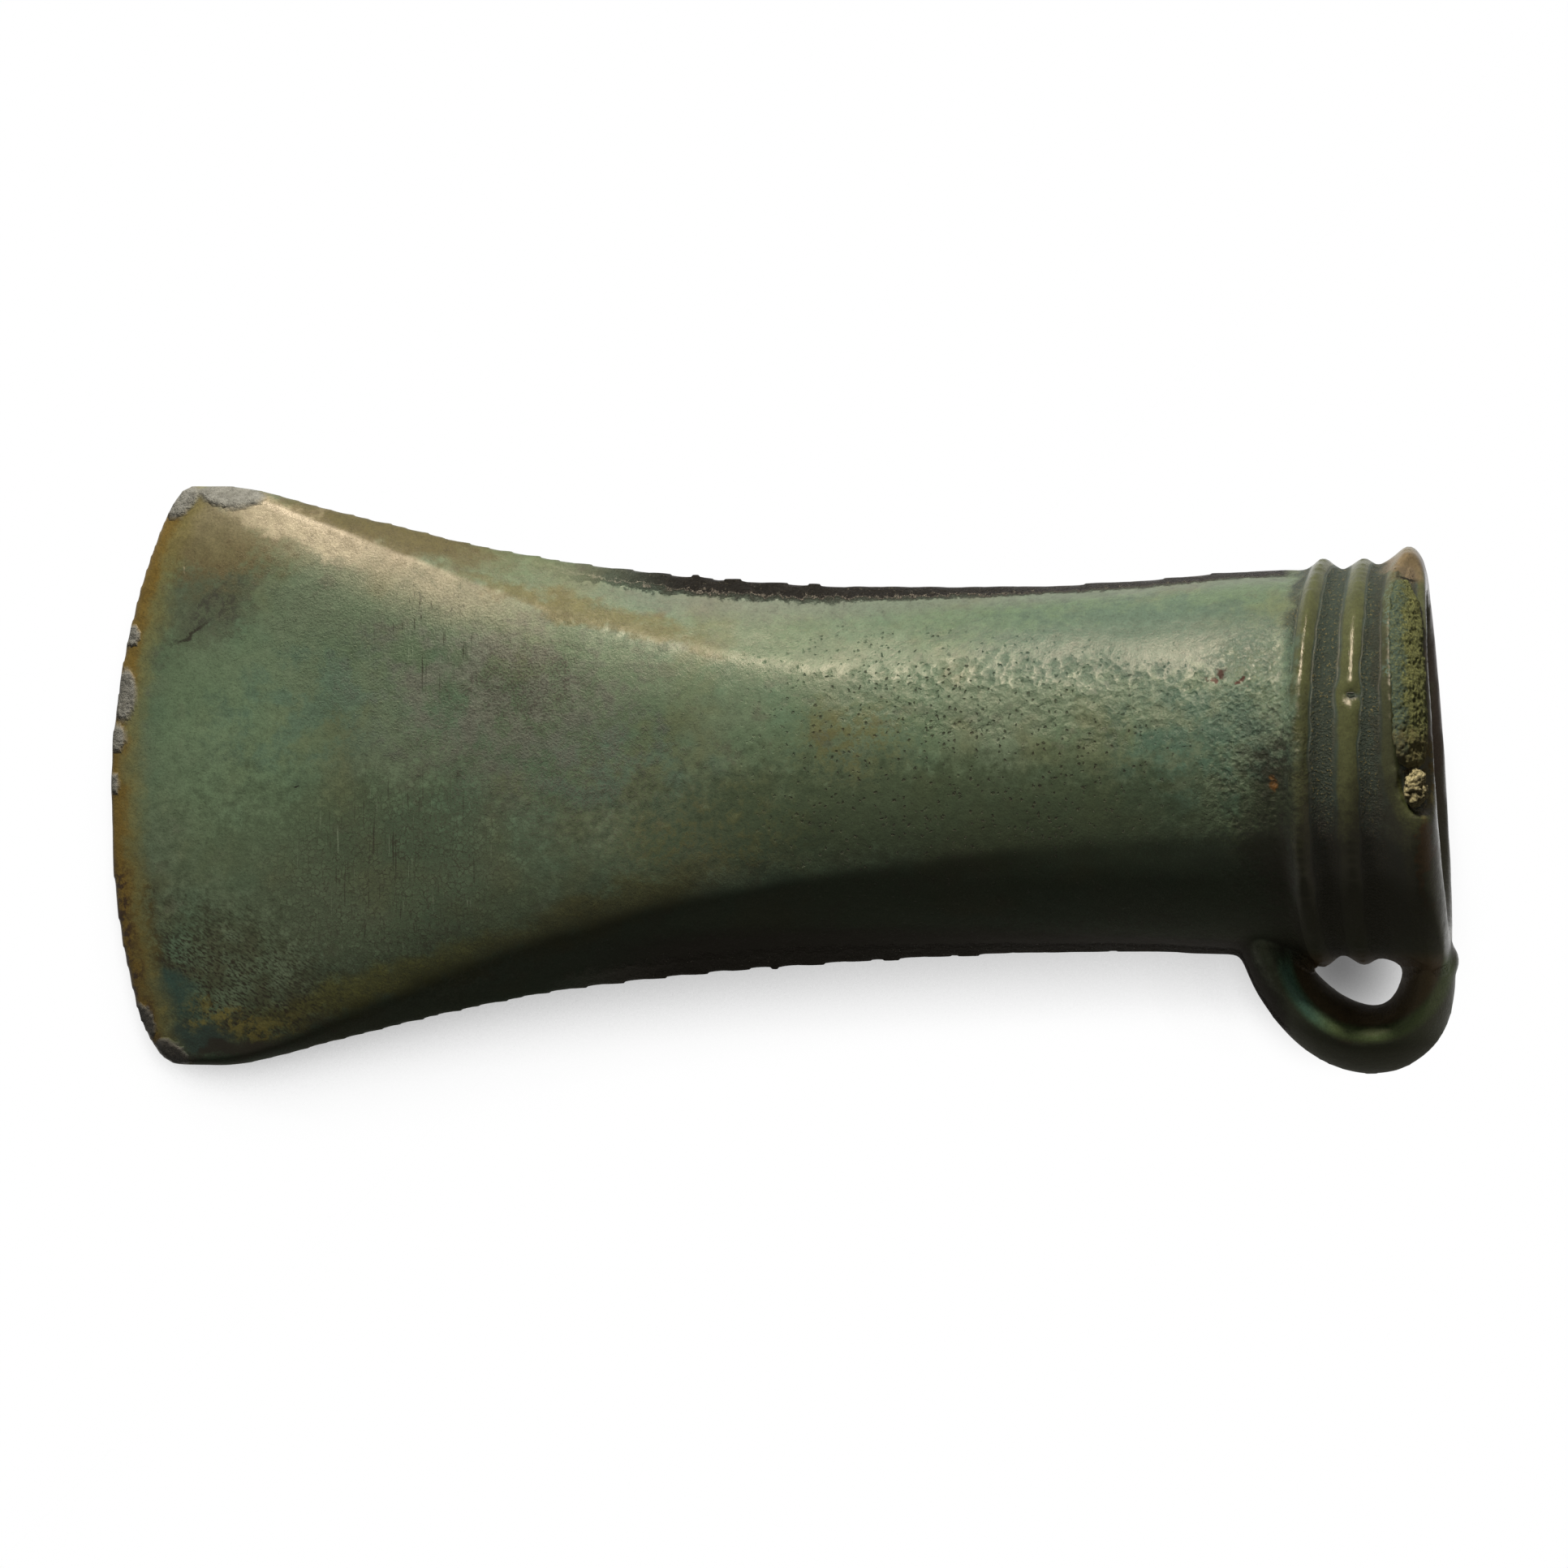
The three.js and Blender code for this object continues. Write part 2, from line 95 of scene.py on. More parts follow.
def white_paper():
    """Matt paper. Its shadow is what the axe hides of the sky on the lamp's side, and under the loop
    a painted shade darkens it further.
    """
    material, tree = empty_material("white_paper")
    to_lamp = add(tree, "CombineXYZ", dict(zip("XYZ", TOWARDS_LAMP))).outputs[0]
    shade = add(tree, "AmbientOcclusion", {"Distance": SHADOW_REACH, "Normal": to_lamp}, samples=8)
    ramp = add(tree, "ValToRGB", {"Fac": shade.outputs["AO"]})
    ramp.color_ramp.interpolation = "EASE"
    for step, share, tone in zip(ramp.color_ramp.elements, SHADOW_SHARES, SHADOW_TONES):
        step.position = share
        step.color = linear(tone)
    place = add(tree, "TexCoord").outputs["Object"]
    far = add(tree, "VectorMath", {0: place, 1: LOOP_SHADE_MIDDLE}, operation="DISTANCE")
    left = add(tree, "MapRange", {
        "Value": far.outputs["Value"], "From Min": 0.0, "From Max": LOOP_SHADE_REACH,
        "To Min": LOOP_SHADE_LEFT, "To Max": 1.0,
    }, interpolation_type="SMOOTHSTEP")
    light = add(
        tree, "VectorMath", {0: ramp.outputs["Color"], "Scale": left.outputs[0]}, operation="SCALE"
    )
    seen = add(tree, "Emission", {"Color": light.outputs[0], "Strength": 1.0})
    paper = add(tree, "BsdfDiffuse", {"Color": linear(PAPER_TINT)})
    mix = add(tree, "MixShader", {0: looking(tree), 1: paper.outputs[0], 2: seen.outputs[0]})
    add(tree, "OutputMaterial", {"Surface": mix.outputs[0]})
    return material


bpy.ops.object.select_all(action="DESELECT")
bpy.ops.mesh.primitive_plane_add(size=TABLE_SIDE, location=(0, 0, 0))
table = bpy.context.object
table.name = "table"
table.data.materials.append(white_paper())

# THE CAMERA looks straight down on the axe with a long lens, blade to the left and loop below.

VIEW_SIDE = 134.66 * MM  # how wide the view is at the height of the axe's middle
VIEW_MIDDLE = Vector((0.18 * MM, -0.43 * MM, 7 * MM))
LENS_MM = 450
SIGHT_END = 10  # metres from the lens, well past the table's far side

lens = bpy.data.cameras.new("long_lens")
lens.lens = LENS_MM
lens.clip_end = SIGHT_END
camera = bpy.data.objects.new("camera", lens)
camera.location = VIEW_MIDDLE + Vector((0, 0, VIEW_SIDE * LENS_MM / lens.sensor_width))
bpy.context.collection.objects.link(camera)
bpy.context.scene.camera = camera

# THE LIGHT. One soft lamp low beyond the axe's straight side, so that the slopes facing it are
# bright and those on the loop's side fall into shade, a weak one off the mouth, and a dim sky.

LAMPS = {
    # name: aim, azimuth and elevation in degrees, distance from the aim, breadth, watts and tint
    "key": ((0, 0, 0.01), 97, 27, 0.3, 0.054, 1.8, (1.0, 0.965, 0.915)),
    "mouth_glint": ((0.05, 0, 0.01), -14, 14, 0.5, 0.1, 0.12, (1.0, 0.95, 0.9)),
}
SKY_TINT = "#cfd4da"
SKY_STRENGTH = 0.025


def soft_lamp(name, aim, azimuth, elevation, distance, breadth, watts, tint):
    """A round lamp, turned to face what it is aimed at."""
    lamp = bpy.data.lights.new(name, "AREA")
    lamp.shape = "DISK"
    lamp.size = breadth
    lamp.energy = watts
    lamp.color = tint
    holder = bpy.data.objects.new(name, lamp)
    flat = math.cos(math.radians(elevation))
    away = Vector((
        flat * math.cos(math.radians(azimuth)),
        flat * math.sin(math.radians(azimuth)),
        math.sin(math.radians(elevation)),
    ))
    holder.location = Vector(aim) + away * distance
    holder.rotation_mode = "QUATERNION"
    holder.rotation_quaternion = away.to_track_quat("Z", "Y")
    bpy.context.collection.objects.link(holder)


for name, settings in LAMPS.items():
    soft_lamp(name, *settings)

world = bpy.data.worlds.new("dim_sky")
world.use_nodes = True
world.node_tree.nodes.clear()
sky = add(world.node_tree, "Background", {"Color": linear(SKY_TINT), "Strength": SKY_STRENGTH})
backdrop = add(world.node_tree, "Background", {"Color": linear("#ffffff"), "Strength": 1.0})
seen = add(
    world.node_tree, "MixShader",
    {0: looking(world.node_tree), 1: sky.outputs[0], 2: backdrop.outputs[0]},
)
add(world.node_tree, "OutputWorld", {"Surface": seen.outputs[0]})
bpy.context.scene.world = world
bpy.context.scene.view_settings.view_transform = "Standard"

# THE CASTING is one piece of tin bronze, poured in a two-piece mould round a clay core and ground
# at the edge. Its skin is taken from the model's node, rounded from its facets, broken at the edge
# and the horns, and worn soft.

SKIN_GRID = 0.4 * MM
MERGE_REACH = 0.002 * MM  # points of a node's mesh that lie closer than this are one
CREST_ANGLE = 26  # between two faces, in degrees, from which the edge between them stays a crest
CREST_HOLD = 0.8  # how sharp a crest stays, of 1
BREAK_GRAIN = (0.9, 0.6)  # size and height, in millimetres, of the roughness of a fresh break
SKIN_WAVES = (7, 0.2)  # size and height, in millimetres, of what casting and wear left uneven
SOFT_ROUNDS = 8  # how long the blade and body are rubbed smooth; collar, loop and seam stay crisp
EVEN_ROUNDS = 2  # how long all of the skin is rubbed
WEAR_LEVELS = 10
COLLAR_START = 41.5 * MM
COLLAR_FADE = 1.5 * MM  # the rubbing ends over this length
AXIS_RISE = 0.1184  # the axe's axis rises by this much a millimetre towards the mouth
AXIS_BASE = 8.86 * MM  # height of the axis at x = 0
SEAM_OUT = 11 * MM  # the casting seam lies further than this from the axe's middle line
SEAM_START = -26 * MM
SEAM_RISE = 8 * MM  # length over which the seam grows to its full strength
SEAM_BREADTH = 1.1 * MM  # half of the casting seam's stretch, up and down the narrow side
SEAM_KEEP_SHARE = 0.5  # how much of the rubbing the seam is spared
SOCKET_START = -24 * MM
SOCKET_END = 55 * MM
SOCKET_HALF_WIDTH = 15.2 * MM  # what lies further out belongs to the rim
SOCKET_SECTION = (16, 13)  # its width against its depth
SOCKET_FACING = 0.5  # how far a face has to look at the axis, of 1, to count as the socket's wall
SOCKET_SKIN_SHARE = 0.1  # of the socket's faces that are kept, because little of it is seen
RELIEF_ROUNDS = 14  # how wide the surroundings are that a point is held against
CHIP_KEEP = 1.1  # from the middle of a lump, in its own half sizes: what lies nearer isn't rubbed
CHIP_KEEP_FADE = 0.5
FRESH_END = 1.24  # the same for how far fresh metal shows
FRESH_FADE = 0.1
CHIPS = {
    # name: middle, half sizes and turn about the vertical of the lump of bronze that broke away
    "horn_corner": ((-52.5, 24.5, 5.4), (3.2, 1.9, 2.6), 45),
    "horn_side": ((-47.8, 25.6, 5.9), (3.7, 2.0, 2.4), -3),
    "edge_nick_1": ((-55.8, 16.9, 3.7), (0.7, 0.9, 1.4), 20),
    "edge_nick_2": ((-56.5, 12.5, 3.8), (1.1, 1.2, 1.5), 10),
    "edge_bite": ((-57.4, 7.4, 3.9), (1.6, 2.9, 1.5), -3),
    "edge_bite_end": ((-57.9, 3.6, 3.8), (1.3, 1.8, 1.4), 0),
    "edge_nick_3": ((-58.1, -0.4, 3.8), (1.1, 1.7, 1.4), 0),
    "lower_edge": ((-55.2, -20.6, 4.0), (0.9, 2.0, 1.4), 28),
    "lower_horn": ((-52.7, -23.9, 4.8), (2.5, 1.1, 1.8), -42),
}


def apply_modifier(piece, kind, **settings):
    """Adds a modifier to a piece and applies it at once."""
    bpy.context.view_layer.objects.active = piece
    modifier = piece.modifiers.new(kind.lower(), kind)
    for name, value in settings.items():
        setattr(modifier, name, value)
    bpy.ops.object.modifier_apply(modifier=modifier.name)


def roughen(piece, kind, size, strength):
    """Moves a piece's skin in and out by a texture of a size, both in millimetres."""
    texture = bpy.data.textures.new(piece.name + "_" + kind.lower(), kind)
    texture.noise_scale = size * MM
    apply_modifier(
        piece, "DISPLACE", texture=texture, texture_coords="LOCAL",
        strength=strength * MM, mid_level=0.5,
    )


def broken_lump(name, middle, half, turn):
    """A rough lump, used to break metal away."""
    bpy.ops.object.select_all(action="DESELECT")
    bpy.ops.mesh.primitive_ico_sphere_add(subdivisions=4, radius=1, location=(0, 0, 0))
    lump = bpy.context.object
    lump.name = name
    lump.scale = [h * MM for h in half]
    lump.rotation_euler.z = math.radians(turn)
    lump.location = [c * MM for c in middle]
    bpy.ops.object.transform_apply(location=True, rotation=True, scale=True)
    roughen(lump, "CLOUDS", *BREAK_GRAIN)
    return lump


def node_copy(node, name):
    """A piece with the mesh of a CAD node, its doubles merged and its flat pairs made quads."""
    piece = bpy.data.objects.new(name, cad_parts[node].data.copy())
    piece.data.materials.clear()
    bpy.context.collection.objects.link(piece)
    bpy.ops.object.select_all(action="DESELECT")
    piece.select_set(True)
    bpy.context.view_layer.objects.active = piece
    bpy.ops.object.mode_set(mode="EDIT")
    bpy.ops.mesh.select_all(action="SELECT")
    bpy.ops.mesh.remove_doubles(threshold=MERGE_REACH)
    bpy.ops.mesh.tris_convert_to_quads(
        face_threshold=math.radians(30), shape_threshold=math.radians(60)
    )
    bpy.ops.object.mode_set(mode="OBJECT")
    return piece


def read(items, name, width=3):
    """One value of each point or face of a mesh, one row each."""
    values = np.empty(len(items) * width, dtype=np.float32)
    items.foreach_get(name, values)
    return values.reshape(-1, width).astype(float)


def rubbed(points, edges, rounds):
    """The same points after each has moved to the middle of its neighbours so many times."""
    count = np.bincount(edges.ravel(), minlength=len(points))[:, None]
    for _ in range(rounds):
        total = np.zeros_like(points)
        for near, far in (edges.T, edges.T[::-1]):
            for axis in range(3):
                total[:, axis] += np.bincount(near, points[far, axis], len(points))
        points = total / count
    return points


def keep_value(piece, name, values):
    """Stores one number for each point of a piece, which its material reads by name."""
    attribute = piece.data.attributes.new(name, "FLOAT", "POINT")
    attribute.data.foreach_set("value", np.ascontiguousarray(values, dtype=np.float32))


def within(points, middle, half, turn):
    """How far points lie from the middle of a lump, 1 at its skin."""
    back = Matrix.Rotation(math.radians(-turn), 3, "Z")
    local = (points / MM - np.array(middle)) @ np.array(back).T
    return np.linalg.norm(local / np.array(half), axis=1)


def on_socket(points, normals):
    """True for what lies on the socket's wall, which faces the axe's axis."""
    up = points[:, 2] - AXIS_BASE - AXIS_RISE * points[:, 0]
    out = np.stack([points[:, 1] / SOCKET_SECTION[0], up / SOCKET_SECTION[1]], axis=1)
    away = out / np.maximum(np.linalg.norm(out, axis=1), 1e-9)[:, None]
    facing = np.einsum("ij,ij->i", away, normals[:, 1:])
    reached = (points[:, 0] > SOCKET_START) & (points[:, 0] < SOCKET_END)
    return reached & (np.abs(points[:, 1]) < SOCKET_HALF_WIDTH) & (facing < -SOCKET_FACING)


casting = node_copy("axe_casting", "casting_skin")
bpy.ops.object.mode_set(mode="EDIT")
bpy.ops.mesh.select_all(action="DESELECT")
bpy.ops.mesh.edges_select_sharp(sharpness=math.radians(CREST_ANGLE))
bpy.ops.transform.edge_crease(value=CREST_HOLD)
bpy.ops.object.mode_set(mode="OBJECT")
apply_modifier(casting, "SUBSURF", levels=2, render_levels=2)
for name, (middle, half, turn) in CHIPS.items():
    lump = broken_lump(name, middle, half, turn)
    apply_modifier(casting, "BOOLEAN", operation="DIFFERENCE", object=lump, solver="EXACT")
    bpy.data.objects.remove(lump)
apply_modifier(casting, "REMESH", mode="VOXEL", voxel_size=SKIN_GRID, adaptivity=0.0)

# The rubbing wears the blade's faces and the plain body most.
points = read(casting.data.vertices, "co")
chipped = np.min([within(points, *chip) for chip in CHIPS.values()], axis=0)
off_seam = np.abs(points[:, 2] - AXIS_BASE - AXIS_RISE * points[:, 0]) / SEAM_BREADTH
on_seam = (np.abs(points[:, 1]) > SEAM_OUT) * np.clip((points[:, 0] - SEAM_START) / SEAM_RISE, 0, 1)
soft = np.clip((COLLAR_START - points[:, 0]) / COLLAR_FADE, 0, 1)
soft *= np.clip((chipped - CHIP_KEEP) / CHIP_KEEP_FADE, 0, 1)
soft *= 1 - SEAM_KEEP_SHARE * on_seam * np.clip(2 - off_seam, 0, 1)
worn = casting.vertex_groups.new(name="worn")
for level in range(1, WEAR_LEVELS + 1):
    chosen = np.nonzero(np.round(soft * WEAR_LEVELS) == level)[0]
    if len(chosen):
        worn.add(chosen.tolist(), level / WEAR_LEVELS, "REPLACE")
apply_modifier(casting, "SMOOTH", factor=0.5, iterations=SOFT_ROUNDS, vertex_group="worn")
apply_modifier(casting, "SMOOTH", factor=0.5, iterations=EVEN_ROUNDS)
roughen(casting, "CLOUDS", *SKIN_WAVES)

# The socket's wall is seen only through the mouth, so its skin is thinned to few faces.
chosen = on_socket(read(casting.data.polygons, "center"), read(casting.data.polygons, "normal"))
casting.data.polygons.foreach_set("select", chosen)
bpy.ops.object.mode_set(mode="EDIT")
bpy.ops.mesh.select_mode(type="FACE")
bpy.ops.mesh.decimate(ratio=SOCKET_SKIN_SHARE)
bpy.ops.object.mode_set(mode="OBJECT")
for polygon in casting.data.polygons:
    polygon.use_smooth = True

# What the material needs to know of the shape: relief is how far a point stands out of its
# surroundings in millimetres, fresh is 1 on the chips, bore is 1 on the socket's wall, and turned
# is how far a face looks towards the loop's side.
points = read(casting.data.vertices, "co")
normals = read(casting.data.vertices, "normal")
edges = read(casting.data.edges, "vertices", 2).astype(int)
relief = np.einsum("ij,ij->i", points - rubbed(points, edges, RELIEF_ROUNDS), normals) / MM
keep_value(casting, "relief", relief)
chipped = np.min([within(points, *chip) for chip in CHIPS.values()], axis=0)
keep_value(casting, "fresh", np.clip((FRESH_END - chipped) / FRESH_FADE, 0, 1))
keep_value(casting, "bore", on_socket(points, normals))
keep_value(casting, "turned", -normals[:, 1])

MARKS_AND_PAINTED_LIGHT = {
    # name: tint, roughness, hold, middle, half sizes and turn of its reach in millimetres and
    # degrees as seen from above, how far its rim frays, and the texture that breaks it up.
    # Most are stains; those so marked are painted shade or painted light.
    "sage_blade": ("#5f7256", 0.38, 0.6, (-47, 2), (9, 12), 0, 1.0, None),
    "teal_blade": ("#4c6352", 0.36, 0.6, (-41, 6), (9, 6), 20, 1.4, "blotch"),
    "teal_waist": ("#4a5f50", 0.38, 0.6, (-14, 1), (9, 5), 0, 1.4, "blotch"),
    "grey_shoulder": ("#6b6b60", 0.34, 0.6, (-24, 7), (13, 8), -15, 1.6, "blotch"),
    "plum_bloom": ("#4a4b40", 0.5, 0.6, (-22, 3), (12, 9), 10, 2.2, "speck"),
    "plum_bloom_core": ("#3d3b33", 0.5, 0.65, (-22.5, 8.5), (5.5, 4.5), 0, 2.0, "speck"),
    "plum_bloom_low": ("#32312a", 0.5, 0.75, (-33, -10), (11, 9), 15, 2.2, "speck"),
    "plum_bloom_right": ("#45443a", 0.5, 0.5, (-12, -4), (11, 7), 0, 2.0, "speck"),
    "teal_body": ("#51614c", 0.42, 0.65, (24, 11), (34, 6), 0, 1.2, "blotch"),
    "teal_collar": ("#3c5546", 0.36, 0.75, (36, 2), (9, 9), 0, 1.4, "blotch"),
    "bright_band": ("#5f6b58", 0.22, 0.45, (20, 8.2), (22, 2.6), -2, 1.0, "cloud"),
    "bright_foot": ("#556353", 0.16, 0.6, (39.5, 7.6), (5.5, 5.5), 0, 1.2, "speck"),
    "dull_shoulder": ("#44564a", 0.34, 0.7, (31, 11.8), (18, 3.8), 2, 1.2, None),
    "olive_waist": ("#4f4a2a", 0.46, 0.65, (-4.4, -4.5), (12, 5), 5, 1.8, "cloud"),
    "olive_body": ("#4c4826", 0.46, 0.6, (6, 3), (7, 5), 0, 1.8, "cloud"),
    "olive_ridge": ("#5d5927", 0.42, 0.75, (-34, -17.4), (14, 2.0), 19, 0.9, None),
    "olive_ridge_right": ("#514a25", 0.44, 0.65, (-16, -11.5), (12, 2.4), 20, 1.0, None),
    "smudge_haze": ("#454436", 0.5, 0.55, (-50, 15.4), (5.6, 4.2), 30, 1.8, None),
    "smudge": ("#2e2e28", 0.5, 0.75, (-48.7, 14.7), (5.2, 2.2), 43, 1.6, "cloud"),
    "smudge_core": ("#22211b", 0.5, 0.85, (-50.8, 12.1), (2.0, 0.3), 27, 0.4, None),
    "scar": ("#a39a80", 0.3, 1.0, (-51.9, 17.6), (0.3, 0.16), -40, 0.3, None),
    "horn_film": ("#62563a", 0.44, 0.8, (-49.5, 21), (8.5, 4.6), 0, 1.2, None),
    # Painted highlight: a pale sheen along the horn's ridge.
    "horn_sheen": ("#c4b597", 0.26, 0.65, (-41, 21.6), (8, 1.7), -22, 0.9, None),
    "facet_film": ("#493e20", 0.45, 0.85, (-34.5, 22.0), (13.5, 3.0), -17, 0.5, None),
    "facet_line": ("#544b25", 0.42, 0.7, (-17, 14.3), (13, 1.3), -15, 0.8, None),
    "dusky_corner": ("#33321f", 0.46, 0.65, (-47.5, -17.5), (11, 6.5), -18, 1.8, "blotch"),
    "foxed_corner": ("#17140d", 0.46, 0.97, (-47, -16.8), (11.5, 6.6), -20, 1.8, "streak"),
    "foxed_edge": ("#1a140c", 0.42, 0.95, (-55.4, -12), (2.6, 9), 10, 1.4, "cloud"),
    "gold_corner": ("#6b6334", 0.4, 0.8, (-49.5, -20.4), (7.5, 1.8), -12, 1.6, "cloud"),
    "gold_corner_right": ("#6b6334", 0.4, 0.7, (-44.5, -21.6), (4, 1.5), 5, 1.6, "cloud"),
    "blue_spot_upper": ("#263f37", 0.25, 0.95, (-53.7, -18.0), (4.0, 2.2), -18, 0.5, None),
    "blue_spot_lower": ("#233832", 0.25, 0.95, (-50.2, -22.5), (4.4, 1.6), -16, 0.6, None),
    "black_corner": ("#1a1812", 0.35, 0.9, (-46.8, -23.4), (5.5, 1.0), 8, 0.9, None),
    "burnt_collar": ("#080a07", 0.6, 0.98, (42.0, -3.4), (3.6, 8.0), 4, 1.6, None),
    # Painted shade: near black along the body's lower slope towards the loop.
    "painted_shade_lower_slope": ("#12140f", 0.5, 0.7, (25, -13.5), (22, 3), 0, 1.4, "cloud"),
    # Painted shade over the body's lower half, away from the lamp.
    "painted_shade_body": ("#343f2b", 0.42, 0.8, (16, -3.2), (32, 5.8), 0, 1.6, None),
    # Painted shade over the blade's lower half, away from the lamp.
    "painted_shade_blade": ("#3c4633", 0.42, 0.5, (-34, -9), (24, 10), -5, 1.6, None),
    "rust_spot": ("#2e1a14", 0.6, 1.0, (37.2, 9.3), (0.75, 0.5), -10, 0.9, None),
    "rust_spot_left": ("#3a2018", 0.5, 1.0, (36.4, 8.4), (0.45, 0.35), 0, 0.8, None),
    "rust_spot_right": ("#3a2018", 0.5, 1.0, (39.4, 8.1), (0.4, 0.35), 0, 0.8, None),
    "amber_spot": ("#583a14", 0.35, 1.0, (41.9, -0.4), (0.4, 0.7), 0, 0.6, None),
    "ink_dot": ("#0f120f", 0.4, 1.0, (-41.6, -0.3), (0.38, 0.2), 0, 0.3, None),
}
COLLAR_MARKS_AND_PAINTED_LIGHT = {
    # the same, for the collar, the rim and the loop, with painted shade and painted light where so
    # marked
    # Painted shade over the lower part of the collar, towards the loop.
    "painted_shade_collar": ("#080a08", 0.5, 0.85, (49, -10.5), (10, 9.5), 0, 1.0, None),
    "loop_olive": ("#3d4431", 0.42, 0.9, (48, -21), (13, 7.5), 0, 0.6, None),
    "loop_brown": ("#2b2114", 0.5, 0.7, (49.5, -21.4), (4.5, 1.2), -10, 1.2, "cloud"),
    "lip_side": ("#20221a", 0.45, 0.6, (51.2, 6), (1.2, 15), 2, 0.5, None),
    "rim_plum": ("#3a2c24", 0.36, 0.9, (56.4, 8), (1.4, 12.5), 0, 0.5, None),
    "lip_brown": ("#6b5b43", 0.32, 0.85, (53.4, 18.2), (2.2, 2.0), 0, 0.5, None),
    "lip_amber": ("#3d2a12", 0.36, 0.85, (54.4, -6.6), (0.5, 4.6), 2, 0.8, None),
    # Partly the hollow's brown, partly painted light that lifts the shadow round the crumb.
    "spall_floor_and_painted_light": ("#6b5b38", 0.7, 0.9, (54.2, 1.2), (1.8, 4.0), 0, 0.5, "cloud"),
    "spall_shadow": ("#12130f", 0.8, 0.95, (53.2, 16.9), (1.2, 0.35), 0, 0.4, None),
    "spall_teal": ("#46564c", 0.85, 0.9, (52.3, 11.2), (0.85, 6.2), 2, 0.9, "speck"),
}
EDGE_MIDDLE = (8.05, -2.1, 0)  # of the arc of the cutting edge, in millimetres
EDGE_SWEEP = 66  # its radius
LOOP_MIDDLE = (50.0, -14.7, 0)  # of the arc of the loop's crest
LOOP_CREST = 7.15  # its radius


def place_in_mm(tree):
    """Where a point of a piece lies, in millimetres."""
    place = add(tree, "TexCoord").outputs["Object"]
    return add(tree, "VectorMath", {"Vector": place, "Scale": 1 / MM}, operation="SCALE").outputs[0]


